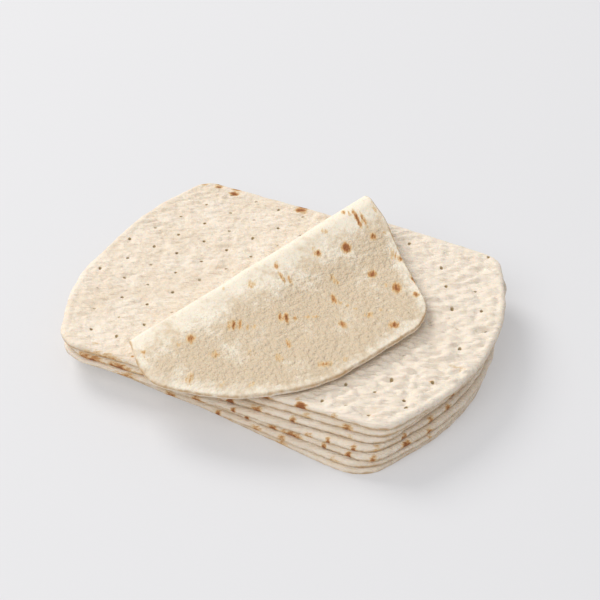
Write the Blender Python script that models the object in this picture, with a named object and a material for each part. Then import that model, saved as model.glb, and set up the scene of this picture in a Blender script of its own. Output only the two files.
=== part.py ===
"""A stack of seven oblong flatbreads, the top one folded over on itself.

Metres, +Z up. The stack lies on z = 0 and its long side runs along X. Sheet 7 is the lowest and
sheet 1 the top one, whose left end is folded over to the right, so that its underside shows.
"""
import bpy
import numpy as np
from math import atan2, cos, pi, radians, sin, sqrt, tan
from mathutils import Vector

MM = 0.001

# driving dimensions
SHEET_THICKNESS = 4.2 * MM
SHEET_PITCH = 4.63 * MM
RIM_ROUND = 2.4 * MM
RIM_SHARE = 0.55
BLISTER_DEPTH = 0.35 * MM
BLISTER_ALONG = 7.1 * MM
BLISTER_ACROSS = 6.3 * MM
BLISTER_SLANT = 11 * MM
BLISTER_RIM = 7.2 * MM

# the fold: a line across sheet 1, leaning from the front left to the back right
FOLD_MIDDLE = (-23.6 * MM, 3.1 * MM)
FOLD_LEAN = radians(24.5)
FOLD_REACH = 105 * MM
FRONT_RADIUS = 3.5 * MM
BACK_RADIUS = 11.6 * MM
FRONT_SLOPE = radians(3)
BACK_SLOPE = radians(19)
FRONT_LANDING = SHEET_THICKNESS + 0.8 * MM
BACK_LANDING = SHEET_THICKNESS + 5.7 * MM
LANDING_SOFTNESS = 2.0 * MM
SETTLING_RUN = 10 * MM
DROOP_START = -95 * MM
DROOP_PER_METRE = 13.0

# the lowest sheet stands on four low spots of its underside
FOOT_DEPTH = 0.25 * MM
FOOT_SPOTS = ((-98 * MM, -80 * MM), (98 * MM, -80 * MM), (80 * MM, 80 * MM), (-98 * MM, 80 * MM))

# each sheet's corners and end points in its own plane: across, along the short side, corner radius,
# counter-clockwise from the front left; then where it lies on the stack and how far it is turned
SHEETS = {
    1: {"corners": ((-108.4, -91.5, 33), (-66, -84.5, 50), (-22, -93.5, 60), (105.8, -97.4, 19),
                    (154.7, 0.9, 160), (107.8, 96.8, 19), (23.4, 106, 55), (-35.6, 112.4, 69),
                    (-132.6, 98.9, 36), (-170.8, -22.8, 95)),
        "place": (2.8, -4.6), "turn": 1.9},
    2: {"corners": ((-112, -100, 23), (112, -100, 22), (150, 0, 220), (109, 99, 26),
                    (-111, 101.5, 15), (-131, 50, 160), (-136.5, -38, 130)),
        "place": (0, 0), "turn": 0},
    3: {"corners": ((-110, -100, 24), (109, -100, 24), (138, 0, 150),
                    (112, 98, 26), (-110, 100, 24), (-136, 0, 150)),
        "place": (2.6, -1.6), "turn": -0.5},
    4: {"corners": ((-110, -100, 25), (110, -100, 25), (146.7, 0, 150),
                    (100, 100, 25), (-110, 100, 25), (-136, 0, 150)),
        "place": (0.4, -3.5), "turn": -1.9},
    5: {"corners": ((-110, -100, 20), (116, -100, 20), (150.5, 0, 150),
                    (96.8, 100, 20), (-110, 100, 20), (-136, 0, 150)),
        "place": (0.9, 0.8), "turn": -5.1},
    6: {"corners": ((-110, -100, 28), (116, -100, 28), (152, 0, 150),
                    (91, 100, 28), (-110, 100, 28), (-136, 0, 150)),
        "place": (1.5, 0.4), "turn": -6.9},
    7: {"corners": ((-110, -100, 28), (120.5, -100, 28), (142.7, 0, 150),
                    (87.7, 100, 28), (-110, 100, 28), (-136, 0, 150)),
        "place": (4.5, 5.1), "turn": -10.5},
}

# how finely the sheets are cut
ARC_STEPS = 16
FLAT_STATIONS = 30
FLAT_ACROSS = 9
TOP_STATIONS = 34
TOP_ACROSS = 12
FOLD_STATIONS = (20, 15, 20)
FOLD_ACROSS = 15
END_INSET = 0.5 * MM
ROLL_MARGIN = 1.05
ROLL_LEAD = 1 * MM
STATION_GAP = 2 * MM
LARGEST_RIM_SHARE = 0.2
NORMAL_STEP = 0.05 * MM
SHARP_ANGLE = radians(50)

CRUMB_COLOUR = (0.83, 0.73, 0.58, 1)
CRUMB_ROUGHNESS = 0.85
SHADE_STEP = 0.02


def clear_scene():
    for thing in list(bpy.data.objects):
        bpy.data.objects.remove(thing, do_unlink=True)


def crumb_material(name, shade):
    """A pale, dry baked surface; shade varies a little from sheet to sheet."""
    material = bpy.data.materials.new(name)
    material.use_nodes = True
    shader = material.node_tree.nodes["Principled BSDF"]
    colour = [channel * shade for channel in CRUMB_COLOUR[:3]]
    shader.inputs["Base Color"].default_value = (*colour, 1)
    shader.inputs["Roughness"].default_value = CRUMB_ROUGHNESS
    shader.inputs["Metallic"].default_value = 0
    return material


def rounded_outline(corners):
    """The polygon of corners with each one rounded by an arc of its own radius."""
    spots = [np.array(corner[:2]) * MM for corner in corners]
    outline = []
    for index, corner in enumerate(corners):
        spot = spots[index]
        back = spots[index - 1] - spot
        ahead = spots[(index + 1) % len(spots)] - spot
        back = back / np.linalg.norm(back)
        ahead = ahead / np.linalg.norm(ahead)
        half_angle = np.arccos(back @ ahead) / 2
        radius = corner[2] * MM
        middle = back + ahead
        centre = spot + middle / np.linalg.norm(middle) * radius / sin(half_angle)
        first = spot + back * radius / tan(half_angle) - centre
        last = spot + ahead * radius / tan(half_angle) - centre
        start = atan2(first[1], first[0])
        sweep = (atan2(last[1], last[0]) - start + pi) % (2 * pi) - pi
        for step in range(ARC_STEPS + 1):
            angle = start + sweep * step / ARC_STEPS
            outline.append(centre + radius * np.array([cos(angle), sin(angle)]))
    return np.array(outline)


def crossing(outline, normal, along, offset):
    """Where the line at this offset along normal enters and leaves the outline."""
    ahead = np.roll(outline, -1, axis=0)
    here = outline @ normal - offset
    there = ahead @ normal - offset
    crossed = (here < 0) != (there < 0)
    share = here[crossed] / (here[crossed] - there[crossed])
    spots = outline[crossed] + (ahead - outline)[crossed] * share[:, None]
    reach = spots @ along
    return reach.min(), reach.max()


def rim_distance(outline, spot):
    """The distance from a spot inside the sheet to its outline."""
    edge = np.roll(outline, -1, axis=0) - outline
    length = (edge ** 2).sum(axis=1) + 1e-18
    share = np.clip(((spot - outline) * edge).sum(axis=1) / length, 0, 1)
    return np.linalg.norm(spot - outline - edge * share[:, None], axis=1).min()


def half_thickness(distance):
    """Half of the sheet's thickness, which falls off in a round edge towards the rim."""
    inward = min(distance / RIM_ROUND, 1)
    return SHEET_THICKNESS / 2 * (RIM_SHARE + (1 - RIM_SHARE) * sqrt(1 - (1 - inward) ** 2))


def blister(spot, number):
    """How far the upper face dips between its low blisters at this spot."""
    wave = sin(spot[0] / BLISTER_ALONG + number) * sin(spot[1] / BLISTER_ACROSS + 2 * number)
    slanting = sin((spot[0] + spot[1]) / BLISTER_SLANT + number)
    return BLISTER_DEPTH * (0.5 + (wave + slanting) / 4)


def flat_sheet(spot):
    """A sheet that isn't folded lies where it was cut."""
    return np.array([spot[0], spot[1], 0.0])


def folded_sheet(spot):
    """Sheet 1: left of the fold line the sheet rolls up and over, and comes down on the right."""
    normal = np.array([cos(FOLD_LEAN), -sin(FOLD_LEAN)])
    along = np.array([sin(FOLD_LEAN), cos(FOLD_LEAN)])
    offset = spot - np.array(FOLD_MIDDLE)
    past = -(offset @ normal)
    reach = offset @ along
    if past <= 0:
        return flat_sheet(spot)
    share = min(max((reach + FOLD_REACH) / (2 * FOLD_REACH), -0.1), 1.1)
    radius = FRONT_RADIUS + (BACK_RADIUS - FRONT_RADIUS) * share
    slope = FRONT_SLOPE + (BACK_SLOPE - FRONT_SLOPE) * share
    landing = FRONT_LANDING + (BACK_LANDING - FRONT_LANDING) * share
    turn = pi + slope
    rolled = min(past / radius, turn)
    run = past - radius * rolled
    sideways = -radius * sin(rolled) + run * cos(slope)
    height = radius - radius * cos(rolled) - run * sin(slope)
    above = (height - landing) / LANDING_SOFTNESS
    settled = landing + LANDING_SOFTNESS * np.log1p(np.exp(min(above, 30)))
    height += (settled - height) * min(run / SETTLING_RUN, 1)
    # the roll is a cone, wider at the back, so what comes out of it is turned a little
    widening = pi * (BACK_RADIUS - FRONT_RADIUS) / (2 * FOLD_REACH)
    plan = np.array(FOLD_MIDDLE) + normal * sideways + along * (reach + widening * run)
    beyond = max(DROOP_START - plan[1], 0)
    height -= DROOP_PER_METRE * beyond ** 2 * rolled / turn
    return np.array([plan[0], plan[1], height])


def surface_normal(shape, spot):
    """The direction of the sheet's upper face at this spot."""
    across = np.array([NORMAL_STEP, 0])
    upward = np.array([0, NORMAL_STEP])
    across = shape(spot + across) - shape(spot - across)
    upward = shape(spot + upward) - shape(spot - upward)
    normal = np.cross(across, upward)
    return normal / np.linalg.norm(normal)


def even_stations(first, last, count):
    """Offsets that lie closer together towards both ends."""
    angles = np.linspace(0, pi, count)
    return first + (last - first) * (1 - np.cos(angles)) / 2


def fold_stations(first, last):
    """Offsets of the flap, of the roll and of the part that lies flat."""
    fold = np.dot(FOLD_MIDDLE, (cos(FOLD_LEAN), -sin(FOLD_LEAN)))
    roll = (pi + BACK_SLOPE) * BACK_RADIUS * ROLL_MARGIN
    left = even_stations(first, 2 * (fold - roll) - first, 2 * FOLD_STATIONS[0])
    right = even_stations(2 * fold - last, last, 2 * FOLD_STATIONS[2])
    middle = np.linspace(fold - roll, fold + ROLL_LEAD, FOLD_STATIONS[1])
    left = left[left < middle[0] - STATION_GAP]
    right = right[right > middle[-1] + STATION_GAP]
    return np.concatenate([left, middle, right])


def across_shares(width, count):
    """Shares of one station's width: the rim, the end of its rounding, then even steps."""
    rim = min(RIM_ROUND / width, LARGEST_RIM_SHARE)
    angles = np.linspace(0, pi, count)
    inner = rim + (1 - 2 * rim) * (1 - np.cos(angles)) / 2
    return np.concatenate([[0], inner, [1]])


def sheet_mesh(name, number, shape, lean, offsets, count):
    """A closed mesh of one sheet: a ring round each station, joined in rows, with a cap at each end."""
    outline = rounded_outline(SHEETS[number]["corners"])
    normal = np.array([cos(lean), -sin(lean)])
    along = np.array([sin(lean), cos(lean)])
    points = []
    for offset in offsets:
        low, high = crossing(outline, normal, along, offset)
        upper = []
        lower = []
        for share in across_shares(high - low, count):
            spot = normal * offset + along * (low + (high - low) * share)
            inward = rim_distance(outline, spot)
            half = half_thickness(inward)
            dip = blister(spot, number) * min(inward / BLISTER_RIM, 1)
            middle = shape(spot)
            direction = surface_normal(shape, spot)
            upper.append(middle + direction * (half - dip))
            lower.append(middle - direction * half)
        points += upper + lower[::-1]
    ring = 2 * (count + 2)
    faces = []
    for row in range(len(offsets) - 1):
        for step in range(ring):
            here = row * ring + step
            beside = row * ring + (step + 1) % ring
            faces.append((here, here + ring, beside + ring, beside))
    faces.append(tuple(range(ring)))
    faces.append(tuple(reversed(range(len(points) - ring, len(points)))))
    mesh = bpy.data.meshes.new(name)
    mesh.from_pydata([tuple(point) for point in points], [], faces)
    mesh.validate()
    mesh.shade_smooth()
    mesh.set_sharp_from_angle(angle=SHARP_ANGLE)
    return mesh


def add_feet(mesh):
    """Lower the underside's point nearest to each foot spot."""
    lowest = min(vertex.co.z for vertex in mesh.vertices)
    underside = [vertex for vertex in mesh.vertices if vertex.co.z < lowest + FOOT_DEPTH / 10]
    for spot in FOOT_SPOTS:
        nearest = min(underside, key=lambda vertex: (vertex.co.xy - Vector(spot)).length)
        nearest.co.z -= FOOT_DEPTH


def outline_range(number, lean):
    """The first and last station of a sheet, just inside its two ends."""
    normal = np.array([cos(lean), -sin(lean)])
    reach = rounded_outline(SHEETS[number]["corners"]) @ normal
    return reach.min() + END_INSET, reach.max() - END_INSET


def add_sheet(number):
    """Sheet number, at its height in the stack."""
    name = f"flatbread_{number}"
    lean = FOLD_LEAN if number == 1 else 0
    first, last = outline_range(number, lean)
    if number == 1:
        mesh = sheet_mesh(name, number, folded_sheet, lean, fold_stations(first, last), FOLD_ACROSS)
    elif number == 2:
        mesh = sheet_mesh(name, number, flat_sheet, lean,
                          even_stations(first, last, TOP_STATIONS), TOP_ACROSS)
    else:
        mesh = sheet_mesh(name, number, flat_sheet, lean,
                          even_stations(first, last, FLAT_STATIONS), FLAT_ACROSS)
    if number == len(SHEETS):
        add_feet(mesh)
    sheet = bpy.data.objects.new(name, mesh)
    bpy.context.collection.objects.link(sheet)
    across, along = SHEETS[number]["place"]
    height = (len(SHEETS) - number) * SHEET_PITCH + SHEET_THICKNESS / 2
    sheet.location = (across * MM, along * MM, height)
    sheet.rotation_euler = (0, 0, radians(SHEETS[number]["turn"]))
    mesh.materials.append(crumb_material(f"crumb_{number}", 1 - SHADE_STEP * (number % 3)))
    return sheet


def centre_on_box(sheets):
    """Move the whole stack so that the origin is under the middle of its box."""
    bpy.context.view_layer.update()
    corners = np.array([sheet.matrix_world @ vertex.co for sheet in sheets for vertex in sheet.data.vertices])
    middle = (corners.min(axis=0) + corners.max(axis=0)) / 2
    stack = bpy.data.objects.new("stack", None)
    bpy.context.collection.objects.link(stack)
    stack.location = (-middle[0], -middle[1], -corners[:, 2].min())
    for sheet in sheets:
        sheet.parent = stack


clear_scene()
centre_on_box([add_sheet(number) for number in SHEETS])
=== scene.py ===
import math

import bpy
import numpy as np
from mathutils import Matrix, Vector
from mathutils.kdtree import KDTree


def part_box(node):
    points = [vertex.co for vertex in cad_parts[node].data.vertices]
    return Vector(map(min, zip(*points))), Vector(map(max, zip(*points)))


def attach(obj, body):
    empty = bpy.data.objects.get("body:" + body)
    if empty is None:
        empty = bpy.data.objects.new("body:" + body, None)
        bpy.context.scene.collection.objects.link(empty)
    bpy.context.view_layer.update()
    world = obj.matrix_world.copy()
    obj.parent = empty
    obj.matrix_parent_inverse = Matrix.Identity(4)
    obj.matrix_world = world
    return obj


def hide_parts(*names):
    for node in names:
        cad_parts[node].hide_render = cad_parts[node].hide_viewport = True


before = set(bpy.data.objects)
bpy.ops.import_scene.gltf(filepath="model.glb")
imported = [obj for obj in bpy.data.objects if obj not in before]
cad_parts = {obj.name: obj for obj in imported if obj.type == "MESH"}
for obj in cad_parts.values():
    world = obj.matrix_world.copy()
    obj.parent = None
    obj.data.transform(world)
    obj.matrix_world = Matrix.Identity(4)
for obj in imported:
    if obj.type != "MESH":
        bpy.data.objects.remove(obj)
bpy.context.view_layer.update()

# A stack of seven oblong flatbreads. The top one is folded over, so that its underside shows.
mm = 0.001

stack = {
    "thickness": 4.2 * mm,
    "pitch": 4.63 * mm,
    "upperRound": 4.5 * mm,         # how far in from the rim the upper face starts to fall away
    "upperShare": 0.1,              # and what is left of that half of the thickness at the very rim
    "lowerRound": 1.6 * mm,
    "lowerShare": 0.75,
    "middleBand": 0.02,             # the rim's middle row lies within this share of half the thickness
    "sway": 0.5 * mm,               # how much the top of the whole stack rolls up and down
    "swaySize": 55 * mm,
    "swaySeed": 7,
}

# the fold of the top sheet: a cone-shaped roll, wider at the back
fold = {
    "middle": (-23.6 * mm, 3.1 * mm),
    "lean": math.radians(24.5),
    "reach": 105 * mm,
    "frontRadius": 3.5 * mm,
    "backRadius": 11.6 * mm,
    "frontSlope": math.radians(3),
    "backSlope": math.radians(19),
    "frontLanding": 5.0 * mm,
    "backLanding": 9.9 * mm,
    "overrun": 0.1,                 # how far the cone goes on past both ends, as a share of its length
    "softness": 2.0 * mm,
    "largestPower": 30,
    "settling": 10 * mm,            # how far past the roll the flap has settled on what is below
    "droopStart": -95 * mm,
    "droopPerMetre": 13.0,
    "normalStep": 0.3 * mm,
}

# each sheet's corners in mm, counter-clockwise from the front left: along, across, corner radius;
# then its place on the stack in mm, its turn in degrees and the cells that it is cut into
sheets = {
    1: {"corners": ((-108.4, -91.5, 33), (-66, -84.5, 50), (-22, -93.5, 60), (105.8, -97.4, 19),
                    (154.7, 0.9, 160), (107.8, 96.8, 19), (23.4, 106, 55), (-35.6, 112.4, 69),
                    (-132.6, 98.9, 36), (-170.8, -22.8, 95)),
        "place": (2.8, -4.6), "turn": 1.9, "cells": (120, 88)},
    2: {"corners": ((-112, -100, 23), (112, -100, 22), (150, 0, 220), (109, 99, 26),
                    (-111, 101.5, 15), (-131, 50, 160), (-136.5, -38, 130)),
        "place": (0, 0), "turn": 0, "cells": (120, 88)},
    3: {"corners": ((-110, -100, 24), (109, -100, 24), (138, 0, 150),
                    (112, 98, 26), (-110, 100, 24), (-136, 0, 150)),
        "place": (2.6, -1.6), "turn": -0.5, "cells": (84, 62)},
    4: {"corners": ((-110, -100, 25), (110, -100, 25), (146.7, 0, 150),
                    (100, 100, 25), (-110, 100, 25), (-136, 0, 150)),
        "place": (0.4, -3.5), "turn": -1.9, "cells": (84, 62)},
    5: {"corners": ((-110, -100, 20), (116, -100, 20), (150.5, 0, 150),
                    (96.8, 100, 20), (-110, 100, 20), (-136, 0, 150)),
        "place": (0.9, 0.8), "turn": -5.1, "cells": (84, 62)},
    6: {"corners": ((-110, -100, 28), (116, -100, 28), (152, 0, 150),
                    (91, 100, 28), (-110, 100, 28), (-136, 0, 150)),
        "place": (1.5, 0.4), "turn": -6.9, "cells": (84, 62)},
    7: {"corners": ((-110, -100, 28), (120.5, -100, 28), (142.7, 0, 150),
                    (87.7, 100, 28), (-110, 100, 28), (-136, 0, 150)),
        "place": (4.5, 5.1), "turn": -10.5, "cells": (84, 62)},
}

outlineCut = {
    "arcPoints": 33,
    "tightCorner": 40,              # in mm: a rounder corner doesn't divide one side from the next
}

# relief of the two faces
relief = {
    "grain": math.radians(16),      # the wrinkles run this way, turned from the long side
    "pillowHeight": 0.6 * mm,       # how far the dough stands up between the docker holes
    "pillowReach": 4.5 * mm,
    "wrinkleHeight": 0.8 * mm,
    "wrinkleLength": 15 * mm,
    "wrinkleWidth": 4.4 * mm,
    "pleatHeight": 0.45 * mm,       # a finer set between the wrinkles
    "pleatLength": 6 * mm,
    "pleatWidth": 2.7 * mm,
    "bendSize": 2.5,                # the wrinkles wind, over this many of their lengths
    "ridgeRise": 2.6,               # their tops are round and their valleys sharp
    "ridgeDrop": 0.8,
    "blisterHeight": 1.7 * mm,
    "blisterSize": 10 * mm,
    "blisterShape": (1.4, 0.7),     # a blister's length and width in sizes
    "blisterMiddle": (80 * mm, -30 * mm),   # the right part of the top sheet blisters most
    "blisterReach": 80 * mm,
    "blisterLeast": 0.4,            # what is left of its blisters far from there
    "blisterElsewhere": 0.1,        # and on the other sheets
    "border": 6.5 * mm,             # the wrinkles end this far in from the rim
    "borderStart": 0.2,
    "borderHeight": 0.4 * mm,       # and the rim is a soft smooth roll
    "fadeReach": 5 * mm,            # all relief fades out over this much of the rim
    "tuckHeight": 0.28 * mm,        # small tucks across the rim
    "tuckSize": 5 * mm,
    "tuckReach": 4 * mm,
    "dentHeight": 0.45 * mm,
    "dentSize": 22 * mm,
    "pebbleHeight": 0.32 * mm,
    "pebbleSize": 3.4 * mm,
    "rimWander": 0.6 * mm,
    "rimWanderSize": 12 * mm,
    "rimWanderReach": 6 * mm,
    "hiddenShare": 0.12,            # what is left of the relief where another sheet lies on it
    "foldFade": 6 * mm,             # over how much of the flat dough it comes back beside the fold
    "flapUnder": 3 * mm,            # and from how far under the flap's rim
    "flapBeside": 2 * mm,           # to how far beside it
    "patternStep": 0.5,             # in metres, so that no sheet repeats another one's pattern
}

# the flap's underside is palest along the fold and at the rim; along the fold the paleness is painted
# highlight where the roll faces the light, and the warmer, darker tone down the flap is partly its real bake
# and partly painted shade
flapBakeAndShade = {
    "foldStart": 18 * mm,
    "foldEnd": 54 * mm,
    "foldLean": 0.15,
    "rimLeast": 0.35,
    "rimStart": 2 * mm,
    "rimEnd": 14 * mm,
    "otherSheets": 0.5,
}

dockers = {
    "pitch": 18.25 * mm,            # from hole to hole along a row
    "row": 19.3 * mm,               # from row to row, every other one shifted by half a pitch
    "start": (-105.6 * mm, 54.9 * mm),
    "rows": range(-3, 9),           # more than a sheet holds; those past its rim are dropped
    "columns": range(-2, 16),
    "slip": 0.3 * mm,               # how far each row slides along
    "drop": 0.85 * mm,              # and each column towards the front
    "jitter": 0.7 * mm,
    "rimClearance": 7 * mm,
    "width": 2.4 * mm,
    "floor": 1.1 * mm,
    "lip": 0.135 * mm,
    "leastRim": 0.1 * mm,
    "depth": 1.3 * mm,
    "uprightness": 0.9,             # a face that can be pierced points up at least this much
    # a hole's dark brown is partly its own browning and partly painted shade in its recess
    "holeShadeAndStain": 1.05 * mm,             # how far around its middle a hole is dark
    "holeShadeAndStainDepth": 0.9,              # it stays off the lower face, in shares of half the thickness
    "pull": 6 * mm,                 # how far around a hole the mesh is pulled towards it
}

# the holes of the top sheet are less even, in mm: along, across
topHoles = ((48, 88), (77, 71), (101, 94), (87, 53), (106, 56), (99, 32), (117, 37), (110, 13),
            (127, 18), (100, -8), (118, -5), (89, -25), (109, -26), (115, -44), (67, -66), (86, -66),
            (105, -66), (60, -86), (75, -85), (91, -88), (109, -73), (75, 29), (81, 5), (67, -27),
            (91, -51), (49, -55))

# browned marks on the underside of the top sheet, where it lay on the hot plate, in mm:
# along, across, half length along the strokes, half width across them, strength, lean in degrees
underMarks = (
    (-27, 93, 9, 1.5, 1.0, 2), (-29, 97, 7, 1.3, 0.8, 2), (-19, 87, 2.6, 2, 0.75, 20),
    (-22, 90, 3, 1.2, 0.6, 2), (-22, 108, 6, 1.3, 0.45, 2), (-47, 76, 5, 3.2, 1.15, 20),
    (-46, 56, 3.4, 2.4, 0.85, 20),
    (-44, 55, 5, 3.6, 0.35, 20), (-30, 68, 2.6, 2.4, 0.4, 20), (-44, 97, 3.2, 2.4, 0.9, 20),
    (-43, 106, 1.8, 1.4, 0.6, 20), (-46, 111, 6, 1.6, 0.9, 10), (-64, 103, 7, 3, 0.55, 2),
    (-69, 106, 3, 2.2, 0.85, 2), (-63, 110, 4, 1.6, 0.6, 2), (-75, 82, 4.2, 3.2, 1.0, 20),
    (-95, 90, 5.5, 3, 1.05, 20), (-89, 86, 3, 1.8, 0.5, 20), (-92, 104, 5, 1.5, 0.9, 2),
    (-107, 98, 3.2, 2.2, 0.85, 20), (-69, 56, 6, 2.2, 0.5, 2), (-73, 57, 3, 2, 0.7, 2),
    (-88, 48, 6, 2.2, 0.8, 10), (-93, 50, 3, 1.6, 0.5, 2), (-48, 25, 3, 2, 0.75, 20),
    (-47, 26, 4.5, 3.2, 0.35, 20), (-58, 25, 6, 1.3, 0.7, 2), (-62, 29, 5, 1.2, 0.55, 2),
    (-57, 4, 4, 3, 0.5, 20), (-59, 3, 2, 1.4, 0.6, 20), (-54, -14, 2, 1.5, 0.4, 20),
 (-54, -10, 1.6, 1.3, 0.4, 20), (-91, 9, 5, 1.6, 0.85, 18),
    (-94, 12, 5.5, 2, 0.9, 18), (-96, 17, 2.4, 1.6, 0.8, 18), (-98, 25, 2.2, 2.6, 0.6, 18),
    (-100, 30, 1.8, 3.2, 0.6, 18), (-86, -24, 5, 1.3, 0.75, 24), (-87, -21, 5.5, 1.5, 0.85, 24),
    (-88, -17.5, 5, 1.5, 0.85, 24), (-92, -14, 2.6, 1.3, 0.65, 24), (-93, -10, 2.4, 1.3, 0.6, 24),
    (-103, 56, 1.6, 1.4, 0.7, 20), (-98, 53, 1.6, 1.4, 0.6, 20), (-113, 61, 3.6, 3.4, 0.6, 20),
    (-111, 70, 2, 1.6, 0.45, 20), (-114, 42, 4, 2.6, 0.85, 2), (-129, 71, 3.6, 4, 0.95, 20),
    (-89, -51, 4.4, 2.8, 0.9, 24), (-90, -60, 3, 1.8, 0.4, 24), (-108, -43, 4.5, 4, 0.5, 24),
    (-121, -65, 5, 2.8, 0.55, 24), (-117, 3, 5, 1.8, 0.65, 10), (-127, -8, 4.5, 2.8, 0.6, 10),
    (-143, -34, 3.5, 4, 0.35, 24), (-135, -49, 3.5, 3, 0.35, 24), (-88, -82, 2.4, 1.8, 0.7, 10),
    (-93, -83, 5, 1.4, 0.45, 2), (-144, 15, 3, 5, 0.65, 20), (-115, -22, 4, 3, 0.3, 20),
    (-146, 29, 3, 2.6, 0.4, 20),
)

# browned spots on the rims, in mm: along, across, half length, half width, strength
rimMarks = {
    1: ((50, -96, 3.8, 2, 1.5), (26, -95, 4, 2.5, 0.9), (72, -97, 2.5, 2, 0.7), (128, -54, 1.6, 2, 1.0)),
    2: ((87, -100, 4, 2, 0.8), (60, -100, 3, 2, 0.5), (-36, 98, 4.5, 3.5, 2.0), (-86, 98, 4, 3, 1.9),
        (-99, 99, 3, 3, 1.7), (-109, 97, 2.5, 2, 0.9), (-78, -100, 16, 2, 0.55)),
    3: ((8, -100, 2.6, 3, 1.4), (26, -100, 3.6, 3, 0.95), (50, -100, 2.2, 3, 1.0), (-70, -100, 9, 2, 1.0),
        (-90, -99, 12, 2, 0.9), (-50, -100, 9, 2, 0.7), (127, -35, 2, 3, 0.9), (88, -100, 3, 2, 0.5)),
    4: ((-10, -100, 3.4, 2.5, 0.9), (16, -100, 1.8, 2.5, 1.0), (67, -100, 3, 2, 0.7), (80, -100, 1.6, 3, 1.1),
        (97, -99, 1.7, 3, 1.1), (109, -92, 2, 3, 0.7), (119, -75, 1.6, 3, 1.0), (126, -53, 2, 3, 0.95),
        (131, -37, 2, 3, 0.8), (-60, -100, 9, 2, 0.6)),
    5: ((29, -100, 1.7, 3, 1.2), (47, -100, 3.6, 3, 0.9), (61, -100, 7, 2, 0.9), (83, -100, 1.8, 3, 1.1),
        (100, -100, 2, 3.5, 1.3), (114, -95, 1.6, 3, 1.0), (125, -73, 2, 4, 1.2), (131, -55, 2, 3, 0.8),
        (-32, -100, 4, 2, 0.9), (-5, -100, 8, 2, 0.6)),
    6: ((-24, -100, 5, 2, 0.85), (11, -100, 1.7, 3, 1.2), (39, -100, 4, 2, 0.7), (57, -100, 3, 3, 0.85),
        (95, -100, 5, 2, 0.5), (132, -50, 2, 2, 0.7)),
    7: ((60, -100, 6, 2, 0.6), (20, -100, 7, 2, 0.5), (-10, -100, 6, 2, 0.7)),
}

# faint browned spots on the upper faces, written the same way
upperMarks = {
    1: ((123, -24, 7, 2.2, 0.42), (91, -88, 1.6, 1.6, 0.6), (47, -92, 3, 2.5, 0.35),
        (114, -44, 1.5, 1.5, 0.6), (50, -95, 3.8, 1.8, 1.1), (26, -94, 3, 2, 0.55)),
    2: ((-88, -94, 3, 2, 0.35), (-61, -95, 1.2, 1.2, 0.8), (-42, -7, 1.4, 1.2, 0.6),
        (-46, -8, 1.2, 1, 0.5), (-36, 95, 4.4, 3, 1.15), (-86, 95, 3.6, 2.6, 1.1),
        (-99, 96.5, 2.6, 2.2, 1.05), (-109, 95, 2.4, 2, 0.6)),
}

# how brown things get at the rim's upper, middle and lower row; the rim's brown is partly its own toast and
# partly painted shade in the gaps between the sheets, most on the lower row
browning = {
    "rim": (0.28, 0.62, 1.0),
    "rimBrownAndGapShadeReach": 1.6 * mm,
    "spots": (0.75, 1.1, 1.1),
    "spotStart": 1 * mm,
    "spotReach": 2.5 * mm,
    "markEdge": 1.3,                # how sharply any mark ends
}

camera = {
    "lens": 144,
    "sensor": 36,
    "nearest": 0.05,
    "azimuth": math.radians(25.42),
    "elevation": math.radians(36.19),
    "distance": 1.579,
    "target": (-0.0103, 0.03535, 0.0009),
}


def deselectAll():
    if bpy.context.mode != "OBJECT":
        bpy.ops.object.mode_set(mode="OBJECT")
    bpy.ops.object.select_all(action="DESELECT")


def pickOnly(piece):
    deselectAll()
    piece.select_set(True)
    bpy.context.view_layer.objects.active = piece


def applyModifier(piece, kind, **values):
    pickOnly(piece)
    modifier = piece.modifiers.new(kind.lower(), kind)
    for name, value in values.items():
        setattr(modifier, name, value)
    bpy.ops.object.modifier_apply(modifier=modifier.name)


def cornerArc(corners, index):
    # centre, radius, start angle and sweep of the arc that rounds one corner
    spot, before, after = (np.array(corners[i % len(corners)][:2]) * mm
                           for i in (index, index - 1, index + 1))
    back = (before - spot) / np.linalg.norm(before - spot)
    ahead = (after - spot) / np.linalg.norm(after - spot)
    halfAngle = math.acos(back @ ahead) / 2
    radius = corners[index][2] * mm
    middle = back + ahead
    centre = spot + middle / np.linalg.norm(middle) * radius / math.sin(halfAngle)
    first = spot + back * radius / math.tan(halfAngle) - centre
    last = spot + ahead * radius / math.tan(halfAngle) - centre
    start = math.atan2(first[1], first[0])
    sweep = (math.atan2(last[1], last[0]) - start + math.pi) % (2 * math.pi) - math.pi
    return centre, radius, start, sweep


def roundedOutline(corners):
    # the outline as points, and the numbers of the points halfway round its four tight corners
    steps = outlineCut["arcPoints"]
    outline, halfways = [], []
    for index, corner in enumerate(corners):
        centre, radius, start, sweep = cornerArc(corners, index)
        if corner[2] < outlineCut["tightCorner"]:
            halfways.append(len(outline) + steps // 2)
        for step in range(steps):
            angle = start + sweep * step / (steps - 1)
            outline.append(centre + radius * np.array([math.cos(angle), math.sin(angle)]))
    return np.array(outline), halfways


def evenPoints(line, count):
    # points at equal distances along a line
    length = np.concatenate([[0], np.cumsum(np.linalg.norm(np.diff(line, axis=0), axis=1))])
    at = np.linspace(0, length[-1], count)
    return np.stack([np.interp(at, length, line[:, 0]), np.interp(at, length, line[:, 1])], axis=1)


def outlineSides(corners, cells):
    # front, right, back and left side, each as evenly spaced points from left to right or front to back
    outline, halfways = roundedOutline(corners)
    loop = np.concatenate([outline, outline])
    ends = halfways + [halfways[0] + len(outline)]
    sides = [loop[ends[i]:ends[i + 1] + 1] for i in range(4)]
    counts = (cells[0] + 1, cells[1] + 1, cells[0] + 1, cells[1] + 1)
    front, right, back, left = (evenPoints(side, count) for side, count in zip(sides, counts))
    return front, right, back[::-1], left[::-1]


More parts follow.
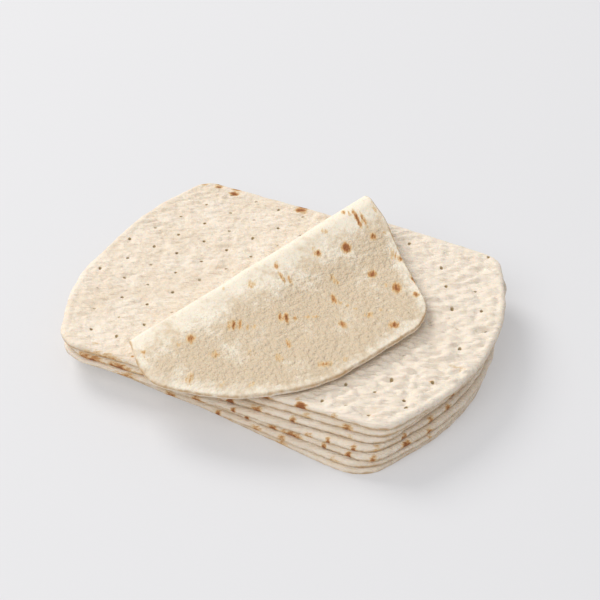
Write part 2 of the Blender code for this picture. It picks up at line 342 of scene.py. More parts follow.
def spreadOverOutline(corners, cells):
    # where each point of a grid goes, so that the grid fills the outline
    front, right, back, left = outlineSides(corners, cells)
    s = np.linspace(0, 1, cells[0] + 1)[:, None, None]
    t = np.linspace(0, 1, cells[1] + 1)[None, :, None]
    between = (1 - t) * front[:, None] + t * back[:, None] + (1 - s) * left[None] + s * right[None]
    corner = ((1 - s) * (1 - t) * front[0] + s * (1 - t) * front[-1]
              + (1 - s) * t * back[0] + s * t * back[-1])
    return between - corner


def lattice(x, y, seed, size=128):
    # gradient noise from about -1 to 1, the same each run
    angles = np.random.default_rng(seed).uniform(0, 2 * math.pi, (size, size))
    column, row = np.floor(x).astype(int), np.floor(y).astype(int)
    right, up = x - column, y - row
    easeX = right ** 3 * (right * (right * 6 - 15) + 10)
    easeY = up ** 3 * (up * (up * 6 - 15) + 10)
    total = 0
    for i in (0, 1):
        for j in (0, 1):
            angle = angles[(row + j) % size, (column + i) % size]
            slope = np.cos(angle) * (right - i) + np.sin(angle) * (up - j)
            total = total + slope * (easeX if i else 1 - easeX) * (easeY if j else 1 - easeY)
    return total * 1.5


def smoothstep(low, high, value):
    share = np.clip((value - low) / (high - low), 0, 1)
    return share * share * (3 - 2 * share)


def creased(u, v, length, width, seed):
    # rounded tops with sharp valleys between them, stretched along the grain
    grain = relief["grain"]
    along = u * math.cos(grain) + v * math.sin(grain)
    across = v * math.cos(grain) - u * math.sin(grain)
    bendSize = relief["bendSize"] * length
    bend = lattice(along / bendSize, across / bendSize, seed + 5) * width
    ridge = np.abs(lattice(along / length, (across + bend) / width, seed))
    return ridge * relief["ridgeRise"] - relief["ridgeDrop"]


def holeSpots(number, outline):
    # where the docker pierced a sheet, in its own plane
    if number == 1:
        return np.array(topHoles) * mm
    wobble = np.random.default_rng(40 + number)
    holes = []
    for row in dockers["rows"]:
        for column in dockers["columns"]:
            step = column + 0.5 * (row % 2)
            u = dockers["start"][0] + dockers["pitch"] * step - dockers["slip"] * row
            v = dockers["start"][1] - dockers["row"] * row - dockers["drop"] * step
            holes.append((u, v) + wobble.uniform(-1, 1, 2) * dockers["jitter"])
    holes = np.array(holes)
    return holes[rimDistance(outline, holes) > dockers["rimClearance"]]


def rimDistance(outline, spots):
    # how far inside the outline each spot lies, from the nearest of three points on each side
    ahead = np.roll(outline, -1, axis=0)
    count = 3
    fine = np.concatenate([outline + (ahead - outline) * step / count for step in range(count)])
    step = ahead - outline
    inward = np.stack([-step[:, 1], step[:, 0]], axis=1)
    inward = np.tile(inward / (np.linalg.norm(inward, axis=1, keepdims=True) + 1e-12), (count, 1))
    tree = KDTree(len(fine))
    for index, point in enumerate(fine):
        tree.insert((point[0], point[1], 0), index)
    tree.balance()
    nearest = np.array([tree.find((spot[0], spot[1], 0))[1] for spot in spots])
    return np.einsum("ij,ij->i", spots - fine[nearest], inward[nearest])


def pullToHoles(points, holes):
    # move the grid a little, so that each hole has the middle of a cell
    middles = (points[1:, 1:] + points[:-1, 1:] + points[1:, :-1] + points[:-1, :-1]) / 4
    for hole in holes:
        gap = np.linalg.norm(middles - hole, axis=2)
        nearest = np.unravel_index(gap.argmin(), gap.shape)
        offset = hole - middles[nearest]
        reach = np.linalg.norm(points - hole, axis=2)
        points += offset * np.exp(-(reach / dockers["pull"]) ** 2)[:, :, None]
    return points


def cutSheet(number):
    # a grid, shaped to the outline, with its thickness and its docker holes, rounded by subdivision
    values = sheets[number]
    outline, _ = roundedOutline(values["corners"])
    cells = values["cells"]
    deselectAll()
    bpy.ops.mesh.primitive_grid_add(x_subdivisions=cells[0], y_subdivisions=cells[1], size=2)
    piece = bpy.context.object
    piece.name = f"sheet{number}"
    mesh = piece.data
    points = readPoints(mesh)
    column = np.rint((points[:, 0] + 1) / 2 * cells[0]).astype(int)
    row = np.rint((points[:, 1] + 1) / 2 * cells[1]).astype(int)
    holes = holeSpots(number, outline)
    spread = pullToHoles(spreadOverOutline(values["corners"], cells), holes)
    points[:, :2] = spread[column, row]
    writePoints(mesh, points)
    applyModifier(piece, "SOLIDIFY", thickness=stack["thickness"], offset=0, use_even_offset=False)
    pierce(piece, holes)
    applyModifier(piece, "SUBSURF", levels=1, render_levels=1)
    return piece, outline, holes


def pierce(piece, holes):
    # sink the cell under each hole in two steps: a lip, then the hole itself
    mesh = piece.data
    tree = KDTree(len(mesh.polygons))
    for face in mesh.polygons:
        if face.normal.z > dockers["uprightness"]:
            tree.insert(face.center, face.index)
    tree.balance()
    top = stack["thickness"] / 2
    chosen = {tree.find((hole[0], hole[1], top))[1] for hole in holes}
    pickOnly(piece)
    for things in (mesh.vertices, mesh.edges):
        things.foreach_set("select", [False] * len(things))
    mesh.polygons.foreach_set("select", [face.index in chosen for face in mesh.polygons])
    cell = math.sqrt(np.mean([mesh.polygons[index].area for index in chosen]))
    rim = max((cell - dockers["width"]) / 2, dockers["leastRim"])
    bpy.ops.object.mode_set(mode="EDIT")
    bpy.ops.mesh.select_mode(type="FACE")
    bpy.ops.mesh.inset(thickness=rim, depth=-dockers["lip"], use_individual=True)
    bpy.ops.mesh.inset(thickness=(dockers["width"] - dockers["floor"]) / 2, depth=-dockers["depth"],
                       use_individual=True)
    bpy.ops.object.mode_set(mode="OBJECT")


def readPoints(mesh):
    points = np.empty(len(mesh.vertices) * 3)
    mesh.vertices.foreach_get("co", points)
    return points.reshape(-1, 3)


def writePoints(mesh, points):
    mesh.vertices.foreach_set("co", points.ravel())
    mesh.update()


def topRelief(number, u, v, gap, inward):
    # pillows between the holes, wrinkles of two sizes, blisters, and a smooth roll along the rim
    pillow = -relief["pillowHeight"] * np.exp(-(gap / relief["pillowReach"]) ** 2)
    wrinkle = relief["wrinkleHeight"] * creased(u, v, relief["wrinkleLength"],
                                                relief["wrinkleWidth"], 11 * number)
    pleat = relief["pleatHeight"] * creased(u, v, relief["pleatLength"],
                                            relief["pleatWidth"], 11 * number + 7)
    length, width = (share * relief["blisterSize"] for share in relief["blisterShape"])
    swell = creased(u, v, length, width, 11 * number + 3)
    share = relief["blisterElsewhere"]
    if number == 1:
        away = np.hypot(u - relief["blisterMiddle"][0], v - relief["blisterMiddle"][1])
        least = relief["blisterLeast"]
        share = least + (1 - least) * np.exp(-(away / relief["blisterReach"]) ** 2)
    border = smoothstep(relief["borderStart"] * relief["border"], relief["border"], inward)
    roll = relief["borderHeight"] * (1 - border)
    return pillow + roll + border * (wrinkle + pleat + relief["blisterHeight"] * share * swell)


def underRelief(number, u, v, bakeAndShade):
    # wide dents, and pebbles where the bake-and-shade mask is high
    dent = relief["dentHeight"] * lattice(u / relief["dentSize"], v / relief["dentSize"], 70 + number)
    fine = relief["pebbleSize"]
    pebble = relief["pebbleHeight"] * lattice(u / fine, v / fine, 90 + number)
    return dent + pebble * bakeAndShade


def lyingSpot(number, u, v):
    # where a flat point of a sheet lies on the stack
    turn = math.radians(sheets[number]["turn"])
    shift = np.array(sheets[number]["place"]) * mm
    return (u * math.cos(turn) - v * math.sin(turn) + shift[0],
            u * math.sin(turn) + v * math.cos(turn) + shift[1])


def pastFold(x, y):
    # how far left of the fold line a point of the top sheet is, before it is folded
    return -((x - fold["middle"][0]) * math.cos(fold["lean"])
             - (y - fold["middle"][1]) * math.sin(fold["lean"]))


def foldOver(flat, height):
    # roll the part of the top sheet left of the fold line up and over, with its thickness
    normal = np.array([math.cos(fold["lean"]), -math.sin(fold["lean"])])
    along = np.array([math.sin(fold["lean"]), math.cos(fold["lean"])])

    def middle(spots):
        offset = spots - np.array(fold["middle"])
        past = -(offset @ normal)
        reach = offset @ along
        share = np.clip((reach + fold["reach"]) / (2 * fold["reach"]), -fold["overrun"], 1 + fold["overrun"])
        radius = fold["frontRadius"] + (fold["backRadius"] - fold["frontRadius"]) * share
        slope = fold["frontSlope"] + (fold["backSlope"] - fold["frontSlope"]) * share
        landing = fold["frontLanding"] + (fold["backLanding"] - fold["frontLanding"]) * share
        turn = math.pi + slope
        rolled = np.clip(past / radius, 0, turn)
        run = np.maximum(past - radius * rolled, 0)
        sideways = -radius * np.sin(rolled) + run * np.cos(slope)
        rise = radius - radius * np.cos(rolled) - run * np.sin(slope)
        above = np.minimum((rise - landing) / fold["softness"], fold["largestPower"])
        settled = landing + fold["softness"] * np.log1p(np.exp(above))
        rise = rise + (settled - rise) * np.minimum(run / fold["settling"], 1)
        widening = math.pi * (fold["backRadius"] - fold["frontRadius"]) / (2 * fold["reach"])
        plan = (np.array(fold["middle"]) + normal * sideways[:, None]
                + along * (reach + widening * run)[:, None])
        beyond = np.maximum(fold["droopStart"] - plan[:, 1], 0)
        rise = rise - fold["droopPerMetre"] * beyond ** 2 * rolled / turn
        folded = np.stack([plan[:, 0], plan[:, 1], rise], axis=1)
        level = np.stack([spots[:, 0], spots[:, 1], np.zeros(len(spots))], axis=1)
        return np.where(past[:, None] > 0, folded, level)

    step = fold["normalStep"]
    alongU = middle(flat + (step, 0)) - middle(flat - (step, 0))
    alongV = middle(flat + (0, step)) - middle(flat - (0, step))
    upright = np.cross(alongU, alongV)
    upright /= np.linalg.norm(upright, axis=1, keepdims=True)
    return middle(flat) + upright * height[:, None]


def flapFootprint():
    # the outline of the folded part, as it lies on the rest of the top sheet
    outline, _ = roundedOutline(sheets[1]["corners"])
    flap = outline[pastFold(outline[:, 0], outline[:, 1]) > 0]
    start = int(np.argmax(np.linalg.norm(np.diff(flap, axis=0), axis=1))) + 1
    flap = np.roll(flap, -start, axis=0)
    return foldOver(flap, np.zeros(len(flap)))[::-1, :2]


def shownShare(number, u, v):
    # 1 where a sheet's upper face shows, and small where another sheet lies on it
    hidden = relief["hiddenShare"]
    if number == 1:
        outside = -rimDistance(flapFootprint(), np.stack([u, v], axis=1))
        beside = smoothstep(-relief["flapUnder"], relief["flapBeside"], outside)
        flat = smoothstep(0, -relief["foldFade"], pastFold(u, v))
        return hidden + (1 - hidden) * beside * flat
    if number == 2:
        x, y = lyingSpot(2, u, v)
        past = pastFold(x - sheets[1]["place"][0] * mm, y - sheets[1]["place"][1] * mm)
        return hidden + (1 - hidden) * smoothstep(0, relief["foldFade"], past)
    return np.full_like(u, hidden)


def setValues(mesh, name, values, kind="FLOAT"):
    attribute = mesh.attributes.new(name, kind, "POINT")
    key = "value" if kind == "FLOAT" else "vector"
    attribute.data.foreach_set(key, np.ascontiguousarray(values, dtype=np.float32).ravel())


def toastOfMarks(u, v, marks):
    # how brown each point is; a mark may end with its lean, and lies along the sheet without one
    total = np.zeros_like(u)
    for mark in marks:
        markU, markV, length, width, strength = mark[:5]
        lean = math.radians(mark[5]) if len(mark) > 5 else 0
        offU, offV = u - markU * mm, v - markV * mm
        along = (offU * math.cos(lean) + offV * math.sin(lean)) / (length * mm)
        across = (offV * math.cos(lean) - offU * math.sin(lean)) / (width * mm)
        total = np.maximum(total, strength * np.exp(-(along ** 2 + across ** 2) ** browning["markEdge"]))
    return total


def rimFall(inward, reach, least):
    # what is left of half the thickness near the rim, in a round edge
    share = np.clip(inward / reach, 0, 1)
    return least + (1 - least) * np.sqrt(1 - (1 - share) ** 2)


def nearRim(inward, reach):
    # 1 at the rim, and less and less further in
    return np.exp(-np.clip(inward, 0, None) / reach)


def bakeAndShadeOfFlap(u, v, inward):
    # 0 along the fold, a painted highlight where the roll faces the light, and up to 1 down the flap: partly
    # real bake, partly painted shade
    crease = smoothstep(flapBakeAndShade["foldStart"], flapBakeAndShade["foldEnd"], pastFold(u, v) - flapBakeAndShade["foldLean"] * v)
    least = flapBakeAndShade["rimLeast"]
    border = least + (1 - least) * smoothstep(flapBakeAndShade["rimStart"], flapBakeAndShade["rimEnd"], inward)
    return np.minimum(crease, border)


def atMiddleRow(z):
    return np.abs(z) < stack["middleBand"] * stack["thickness"] / 2


def byRow(values, z):
    # each point's share of three, for the upper, middle and lower row of the rim
    ofUpper, ofMiddle, ofLower = values
    return np.where(atMiddleRow(z), ofMiddle, np.where(z > 0, ofUpper, ofLower))


def heightOfSheet(number, u, v, z, inward, gap, bakeAndShade):
    # how high each point stands over the sheet's middle plane: a round rim first, then the relief
    upper, atMiddle = z > 0, atMiddleRow(z)
    upperRim = rimFall(inward, stack["upperRound"], stack["upperShare"])
    lowerRim = rimFall(inward, stack["lowerRound"], stack["lowerShare"])
    height = np.where(upper, z * upperRim, z * lowerRim)
    rimMiddle = stack["thickness"] / 2 * (stack["upperShare"] - stack["lowerShare"]) / 2
    height = np.where(atMiddle, rimMiddle, height)
    tuck = relief["tuckHeight"] * lattice(u / relief["tuckSize"], v / relief["tuckSize"], 140 + number)
    height = height + tuck * nearRim(inward, relief["tuckReach"])
    over = topRelief(number, u, v, gap, inward) * shownShare(number, u, v)
    under = underRelief(number, u, v, bakeAndShade) * (1 if number == 1 else relief["hiddenShare"])
    fade = smoothstep(0, relief["fadeReach"], inward) * ~atMiddle
    return height + fade * np.where(upper, over, under)


def wanderRim(number, flat, inward):
    # move the rim in and out a little
    size = relief["rimWanderSize"]
    wander = relief["rimWander"] * lattice(flat[:, 0] / size, flat[:, 1] / size, 120 + number)
    outward = flat / np.linalg.norm(flat + 1e-9, axis=1, keepdims=True)
    return flat + outward * (wander * nearRim(inward, relief["rimWanderReach"]))[:, None]


def layOnStack(number, folded, shift):
    # from a sheet's own frame to its place on the stack
    x, y = lyingSpot(number, folded[:, 0], folded[:, 1])
    level = (len(sheets) - number) * stack["pitch"] + stack["thickness"] / 2
    place = np.stack([x + shift[0], y + shift[1], folded[:, 2] + level], axis=1)
    size = stack["swaySize"]
    sway = stack["sway"] * lattice(place[:, 0] / size, place[:, 1] / size, stack["swaySeed"])
    place[:, 2] += sway * np.clip(place[:, 2] / (len(sheets) * stack["pitch"]), 0, 1)
    place[:, 2] = np.maximum(place[:, 2], 0)
    return place


def brownSheet(number, mesh, u, v, z, inward):
    # the rim's brown, partly its own toast and partly painted shade in the gaps between the sheets, the spots
    # on it and the marks of both faces
    upper = z > 0
    nearSpots = nearRim(inward - browning["spotStart"], browning["spotReach"])
    toast = toastOfMarks(u, v, rimMarks[number]) * (byRow(browning["spots"], z) * nearSpots)
    toast = np.maximum(toast, toastOfMarks(u, v, upperMarks.get(number, ())) * upper)
    if number == 1:
        toast = np.maximum(toast, toastOfMarks(u, v, underMarks) * ~upper)
    # the rim's brown rows: partly the toasted rim, partly painted shade in the gaps between the sheets
    setValues(mesh, "rim", byRow(browning["rim"], z) * nearRim(inward, browning["rimBrownAndGapShadeReach"]))
    setValues(mesh, "toast", toast)


def shapeSheet(number, piece, outline, holes, shift):
    # relief and a round rim, then the fold, then the place on the stack and what the crust reads
    mesh = piece.data
    points = readPoints(mesh)
    u, v, z = points.T.copy()
    inward = rimDistance(outline, points[:, :2])
    gap = np.min([np.hypot(u - hole[0], v - hole[1]) for hole in holes], axis=0)
    bakeAndShade = bakeAndShadeOfFlap(u, v, inward) if number == 1 else np.full_like(u, flapBakeAndShade["otherSheets"])
    height = heightOfSheet(number, u, v, z, inward, gap, bakeAndShade)
    flat = wanderRim(number, points[:, :2], inward)
    if number == 1:
        folded = foldOver(flat, height)
    else:
        folded = np.column_stack([flat, height])
    writePoints(mesh, layOnStack(number, folded, shift))
    crumbPlace = np.stack([u, v, height + relief["patternStep"] * number], axis=1)
    setValues(mesh, "crumbPlace", crumbPlace, "FLOAT_VECTOR")
    # where a hole's dark brown goes: partly its own browning, partly painted shade in the recess
    holeShadedAndStained = z > -dockers["holeShadeAndStainDepth"] * stack["thickness"] / 2
    setValues(mesh, "pitShadeAndStain", np.exp(-(gap / dockers["holeShadeAndStain"]) ** 2) * holeShadedAndStained)
    brownSheet(number, mesh, u, v, z, inward)
    # the bake-and-shade mask warms and darkens the crust's colour: partly real bake, partly painted light
    setValues(mesh, "bakeAndShade", bakeAndShade)
    setValues(mesh, "under", byRow((0.0, 0.5, 1.0), z))
    mesh.shade_smooth()


def stackShift():
    # from the sheets' own frame to the part's: the second sheet lies unturned, and gives it
    outline, _ = roundedOutline(sheets[2]["corners"])
    low, high = (Vector(corner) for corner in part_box("flatbread_2"))
    middle = (low + high) / 2
    own = (outline.min(axis=0) + outline.max(axis=0)) / 2
    return np.array([middle.x - own[0], middle.y - own[1]])


def newGroup(name, inputs, outputs):
    group = bpy.data.node_groups.new(name, "ShaderNodeTree")
    for direction, sockets in (("INPUT", inputs), ("OUTPUT", outputs)):
        for label, kind in sockets.items():
            group.interface.new_socket(label, in_out=direction, socket_type=kind)
    nodes = group.nodes
    return group, nodes.new("NodeGroupInput"), nodes.new("NodeGroupOutput")


def feed(tree, value, socket):
    # another node's output is joined to the socket, and a plain value is set on it
    if isinstance(value, bpy.types.NodeSocket):
        tree.links.new(value, socket)
    else:
        socket.default_value = value


def mathNode(tree, operation, *values):
    node = tree.nodes.new("ShaderNodeMath")
    node.operation = operation
    for socket, value in zip(node.inputs, values):
        feed(tree, value, socket)
    return node.outputs[0]


def noiseNode(tree, vector, size, detail=2.0, roughness=0.5):
    node = tree.nodes.new("ShaderNodeTexNoise")
    node.inputs["Scale"].default_value = 1 / size
    node.inputs["Detail"].default_value = detail
    node.inputs["Roughness"].default_value = roughness
    feed(tree, vector, node.inputs["Vector"])
    return node.outputs["Fac"]


def rangeNode(tree, value, low, high, newLow=0.0, newHigh=1.0):
    node = tree.nodes.new("ShaderNodeMapRange")
    node.interpolation_type = "SMOOTHSTEP"
    feed(tree, value, node.inputs["Value"])
    node.inputs["From Min"].default_value = low
    node.inputs["From Max"].default_value = high
    node.inputs["To Min"].default_value = newLow
    node.inputs["To Max"].default_value = newHigh
    return node.outputs["Result"]


def blendNode(tree, factor, first, second):
    node = tree.nodes.new("ShaderNodeMix")
    node.data_type = "RGBA"
    for socket, value in ((node.inputs[0], factor), (node.inputs[6], first), (node.inputs[7], second)):
        feed(tree, value, socket)
    return node.outputs[2]


def mappedPlace(tree, vector, scale, turn):
    # a pattern turned and then drawn out along its own first axis
    node = tree.nodes.new("ShaderNodeMapping")
    node.vector_type = "TEXTURE"
    node.inputs["Scale"].default_value = scale
    node.inputs["Rotation"].default_value = (0, 0, turn)
    feed(tree, vector, node.inputs["Vector"])
    return node.outputs["Vector"]


crumbTone = {
    "patchSize": 24 * mm,
    "patchShare": 0.55,
    "mottleSize": 5 * mm,
    "mottleShare": 0.45,
    # how much the bake-and-shade mask warms the tone: partly real bake, partly painted shade
    "bakeAndShadeShare": 0.28,
    "toneRange": (0.50, 0.78),
    "speckSize": 1.1 * mm,
    "speckRange": (0.60, 0.75),
    "speckColour": (0.62, 0.47, 0.29, 1),
}


def crumbToneGroup():
    # floury patches, mottling and specks over the pale dough
    group, given, result = newGroup(
        "crumbTone",
        {"Place": "NodeSocketVector", "Pale": "NodeSocketColor", "Warm": "NodeSocketColor",
         "Speck": "NodeSocketFloat", "Bake": "NodeSocketFloat"},
        {"Color": "NodeSocketColor"})
    place = given.outputs["Place"]
    patches = noiseNode(group, place, crumbTone["patchSize"], 3, 0.55)
    mottle = noiseNode(group, place, crumbTone["mottleSize"], 3, 0.6)
    both = mathNode(group, "ADD", mathNode(group, "MULTIPLY", patches, crumbTone["patchShare"]),
                    mathNode(group, "MULTIPLY", mottle, crumbTone["mottleShare"]))
    # warmth from the bake-and-shade mask: partly real bake, partly painted shade, and paler along the flap's
    # fold as painted highlight
    baked = mathNode(group, "MULTIPLY", given.outputs["Bake"], crumbTone["bakeAndShadeShare"])
    warmth = rangeNode(group, mathNode(group, "ADD", both, baked), *crumbTone["toneRange"])
    tone = blendNode(group, warmth, given.outputs["Pale"], given.outputs["Warm"])
    fine = noiseNode(group, place, crumbTone["speckSize"], 1, 0.5)
    specks = rangeNode(group, fine, *crumbTone["speckRange"])
    amount = mathNode(group, "MULTIPLY", specks, given.outputs["Speck"])
    feed(group, blendNode(group, amount, tone, crumbTone["speckColour"]), result.inputs["Color"])
    return group


# a browned mark: its ragged strokes, and a pale tan halo, an orange-brown body and a darker heart
toastMark = {
    "strokeStretch": (4, 1, 1),
    "strokeTurn": math.radians(27),
    "strokeSize": 1.5 * mm,
    "strokeShare": 1.1,
    "crumbSize": 1.0 * mm,
    "crumbShare": 0.5,
    "middle": 0.85,
    "edge": (0.02, 0.25),
    "layers": ({"range": (0.1, 0.42), "share": 0.75, "colour": (0.72, 0.50, 0.25, 1)},
               {"range": (0.38, 0.66), "share": 0.85, "colour": (0.52, 0.24, 0.075, 1)},
               {"range": (0.64, 0.92), "share": 0.85, "colour": (0.29, 0.095, 0.028, 1)}),
}


def toastMarkGroup():
    group, given, result = newGroup(
        "toastMark",
        {"Place": "NodeSocketVector", "Color": "NodeSocketColor", "Toast": "NodeSocketFloat"},
        {"Color": "NodeSocketColor"})
    place, toast = given.outputs["Place"], given.outputs["Toast"]
    turned = mappedPlace(group, place, toastMark["strokeStretch"], toastMark["strokeTurn"])
    strokes = noiseNode(group, turned, toastMark["strokeSize"], 1.5, 0.5)
    crumb = noiseNode(group, place, toastMark["crumbSize"], 2, 0.6)
    ragged = mathNode(group, "ADD", mathNode(group, "MULTIPLY", strokes, toastMark["strokeShare"]),
                      mathNode(group, "MULTIPLY", crumb, toastMark["crumbShare"]))
    lifted = mathNode(group, "ADD", toast, mathNode(group, "SUBTRACT", ragged, toastMark["middle"]))
    there = rangeNode(group, toast, *toastMark["edge"])
    tone = given.outputs["Color"]
    for layer in toastMark["layers"]:
        covered = mathNode(group, "MULTIPLY", rangeNode(group, lifted, *layer["range"]), there)
        tone = blendNode(group, mathNode(group, "MULTIPLY", covered, layer["share"]), tone, layer["colour"])
    feed(group, tone, result.inputs["Color"])
    return group


crustGrain = {
    "stretch": (4, 1, 1),
    "creaseSize": 2.6 * mm,
    "pebbleSize": 2.6 * mm,
}


def crustReliefGroup():
    # the fine grain of the baked surface, as a height: creases along the grain, and pebbles
    group, given, result = newGroup(
        "crustRelief",
        {"Place": "NodeSocketVector", "Creases": "NodeSocketFloat", "Pebbles": "NodeSocketFloat"},
        {"Height": "NodeSocketFloat"})
    place = given.outputs["Place"]
    turned = mappedPlace(group, place, crustGrain["stretch"], relief["grain"])
    fine = noiseNode(group, turned, crustGrain["creaseSize"], 2, 0.4)
    crease = mathNode(group, "ABSOLUTE", mathNode(group, "SUBTRACT", fine, 0.5))
    pebble = noiseNode(group, place, crustGrain["pebbleSize"], 2, 0.5)
    total = mathNode(group, "ADD",
                     mathNode(group, "MULTIPLY", crease, given.outputs["Creases"]),
                     mathNode(group, "MULTIPLY", pebble, given.outputs["Pebbles"]))
    feed(group, total, result.inputs["Height"])
    return group


def placedGroup(tree, group, **values):
    node = tree.nodes.new("ShaderNodeGroup")
    node.node_tree = group
    for name, value in values.items():
        feed(tree, value, node.inputs[name])
    return node.outputs


def attributeOutputs(tree, name):
    node = tree.nodes.new("ShaderNodeAttribute")
    node.attribute_name = name
    return node.outputs


crusts = {
    "upperCrust": {"pale": (0.885, 0.785, 0.66, 1), "warm": (0.81, 0.69, 0.545, 1), "speck": 0.15,
                   "creases": 0.85, "pebbles": 0.55, "bump": 2.1 * mm, "roughness": (0.62, 0.82)},
    # on the flap, the pale under crust along the fold is painted highlight, and the warm one down the flap is
    # partly real bake, partly painted shade
    "underCrust": {"pale": (0.90, 0.82, 0.68, 1), "warm": (0.69, 0.56, 0.40, 1), "speck": 0.4,
                   "creases": 0.0, "pebbles": 1.0, "bump": 1.8 * mm, "roughness": (0.7, 0.88)},
    # the rim's brown, partly the toasted rim and partly painted shade in the gaps between the sheets
    "rim": (0.53, 0.335, 0.155, 1),
    "rimBrownAndGapShadePatch": 6 * mm,             # the rim's brown comes and goes over this length
    "rimBrownAndGapShadeRange": (0.12, 0.5),
    "rimBrownAndGapShadeShare": 0.85,
    # the dark brown in and around each docker hole: partly its own browning, partly painted shade in the
    # recess
    "pitShadeAndStain": (0.42, 0.31, 0.17, 1),
    "pitShadeAndStainRange": (0.1, 0.55),
    # the bake-and-shade mask is lowest along the flap's fold, where its paleness is painted highlight
    "palePebbles": 0.25,            # what is left of the pebbles where the dough is palest
    "dullPatch": 3 * mm,
    "dullRange": (0.35, 0.65),
    "scatter": 0.2,
    "scatterSize": 1.5 * mm,
    "scatterReach": (1.0, 0.65, 0.4),
    "gloss": 0.3,
}


def crustMaterial(name, groups):
    values = crusts[name]
    material = bpy.data.materials.new(name)
    material.use_nodes = True
    tree = material.node_tree
    shader = tree.nodes["Principled BSDF"]
    place = attributeOutputs(tree, "crumbPlace")["Vector"]
    bakeAndShade, rim, toast, pitShadeAndStain = (attributeOutputs(tree, part)["Fac"] for part in ("bakeAndShade", "rim", "toast", "pitShadeAndStain"))
    tone = placedGroup(tree, groups["crumbTone"], Place=place, Pale=values["pale"], Warm=values["warm"],
                       Speck=values["speck"], Bake=bakeAndShade)["Color"]
    # the rim's brown, partly painted shade in the gaps between the sheets
    ragged = mathNode(tree, "MULTIPLY", rim, noiseNode(tree, place, crusts["rimBrownAndGapShadePatch"], 2, 0.6))
    browned = rangeNode(tree, ragged, *crusts["rimBrownAndGapShadeRange"], 0, crusts["rimBrownAndGapShadeShare"])
    tone = blendNode(tree, browned, tone, crusts["rim"])
    marked = placedGroup(tree, groups["toastMark"], Place=place, Color=tone, Toast=toast)["Color"]
    # darken the holes: partly their own browning, partly painted shade in the recess
    holeShadedAndStained = blendNode(tree, rangeNode(tree, pitShadeAndStain, *crusts["pitShadeAndStainRange"]), marked, crusts["pitShadeAndStain"])
    feed(tree, holeShadedAndStained, shader.inputs["Base Color"])
    pebbles = mathNode(tree, "MULTIPLY", rangeNode(tree, bakeAndShade, 0, 1, crusts["palePebbles"], 1),
                       values["pebbles"])
    height = placedGroup(tree, groups["crustRelief"], Place=place, Creases=values["creases"],
                         Pebbles=pebbles)["Height"]
    bump = tree.nodes.new("ShaderNodeBump")
    bump.inputs["Strength"].default_value = 1
    bump.inputs["Distance"].default_value = values["bump"]
    feed(tree, height, bump.inputs["Height"])
    feed(tree, bump.outputs["Normal"], shader.inputs["Normal"])
    dullness = noiseNode(tree, place, crusts["dullPatch"], 2, 0.5)
    feed(tree, rangeNode(tree, dullness, *crusts["dullRange"], *values["roughness"]),
         shader.inputs["Roughness"])
    shader.inputs["Subsurface Weight"].default_value = crusts["scatter"]
    shader.inputs["Subsurface Scale"].default_value = crusts["scatterSize"]
    shader.inputs["Subsurface Radius"].default_value = crusts["scatterReach"]
    shader.inputs["Specular IOR Level"].default_value = crusts["gloss"]
    return material


def dressSheet(number, piece, materials):
    # the two crusts on their faces, and what the sheet rides on and replaces
    mesh = piece.data
    mesh.materials.clear()
    for name in ("upperCrust", "underCrust"):
        mesh.materials.append(materials[name])
    side = np.empty(len(mesh.vertices), dtype=np.float32)
    mesh.attributes["under"].data.foreach_get("value", side)
    faceSide = [side[list(face.vertices)].mean() > 0.5 for face in mesh.polygons]
    mesh.polygons.foreach_set("material_index", np.array(faceSide, dtype=np.int32))
    mesh.attributes.remove(mesh.attributes["under"])
    mesh.update()
    node = f"flatbread_{number}"
    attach(piece, "root")
    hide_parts(node)


floor = {
    "size": 12,
    "colour": (0.475, 0.475, 0.484, 1),
    "glow": (0.30, 0.30, 0.305, 1),     # a lit table, so that shadows on it stay pale
    "roughness": 0.6,
    "gloss": 0.1,
}


def layFloor():
    deselectAll()
    bpy.ops.mesh.primitive_plane_add(size=floor["size"], location=(0, 0, 0))
    ground = bpy.context.object
    ground.name = "floor"
    material = bpy.data.materials.new("paleFloor")
    material.use_nodes = True
    shader = material.node_tree.nodes["Principled BSDF"]
    shader.inputs["Base Color"].default_value = floor["colour"]
    shader.inputs["Roughness"].default_value = floor["roughness"]
    shader.inputs["Specular IOR Level"].default_value = floor["gloss"]
    shader.inputs["Emission Color"].default_value = floor["glow"]
    shader.inputs["Emission Strength"].default_value = 1
    ground.data.materials.append(material)


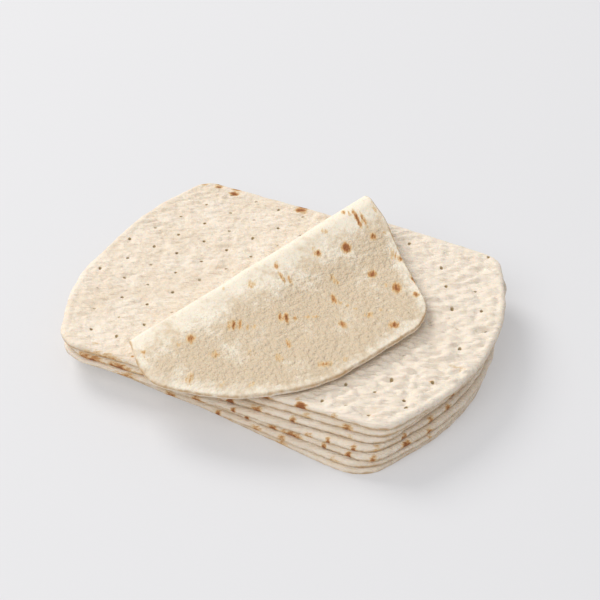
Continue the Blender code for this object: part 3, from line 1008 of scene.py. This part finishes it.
lighting = {
    "windowLight": {"power": 106, "size": 2.3, "from": (-2.88, 1.38, 2.72), "colour": (1.0, 0.985, 0.965)},
    "frontLight": {"power": 40, "size": 2.6, "from": (-0.47, -2.33, 2.57), "colour": (1.0, 0.99, 0.98)},
    "sky": (0.985, 0.985, 1.0, 1),
    "skyStrength": 0.5,
}


def addAreaLight(name, power, size, start, colour):
    lamp = bpy.data.lights.new(name, "AREA")
    lamp.energy = power
    lamp.shape = "DISK"
    lamp.size = size
    lamp.color = colour
    holder = bpy.data.objects.new(name, lamp)
    bpy.context.collection.objects.link(holder)
    holder.location = start
    holder.rotation_euler = (-Vector(start)).to_track_quat("-Z", "Y").to_euler()


def lightScene():
    for name in ("windowLight", "frontLight"):
        lamp = lighting[name]
        addAreaLight(name, lamp["power"], lamp["size"], lamp["from"], lamp["colour"])
    world = bpy.data.worlds.new("studio")
    world.use_nodes = True
    sky = world.node_tree.nodes["Background"]
    sky.inputs["Color"].default_value = lighting["sky"]
    sky.inputs["Strength"].default_value = lighting["skyStrength"]
    bpy.context.scene.world = world


def placeCamera():
    lens = bpy.data.cameras.new("camera")
    lens.lens = camera["lens"]
    lens.sensor_width = camera["sensor"]
    lens.clip_start = camera["nearest"]
    eye = bpy.data.objects.new("camera", lens)
    bpy.context.collection.objects.link(eye)
    level = math.cos(camera["elevation"])
    back = Vector((math.sin(camera["azimuth"]) * level, -math.cos(camera["azimuth"]) * level,
                   math.sin(camera["elevation"])))
    eye.location = Vector(camera["target"]) + back * camera["distance"]
    eye.rotation_euler = back.to_track_quat("Z", "Y").to_euler()
    bpy.context.scene.camera = eye


placeCamera()
lightScene()
layFloor()
print("camera, light and floor are set")

groups = {"crumbTone": crumbToneGroup(), "toastMark": toastMarkGroup(), "crustRelief": crustReliefGroup()}
materials = {name: crustMaterial(name, groups) for name in ("upperCrust", "underCrust")}
print("materials are mixed")

shift = stackShift()
for number in sheets:
    piece, outline, holes = cutSheet(number)
    shapeSheet(number, piece, outline, holes, shift)
    dressSheet(number, piece, materials)
    print(f"sheet {number} is baked:", len(piece.data.polygons), "faces,", len(holes), "holes")

bpy.context.scene.view_settings.view_transform = "Standard"
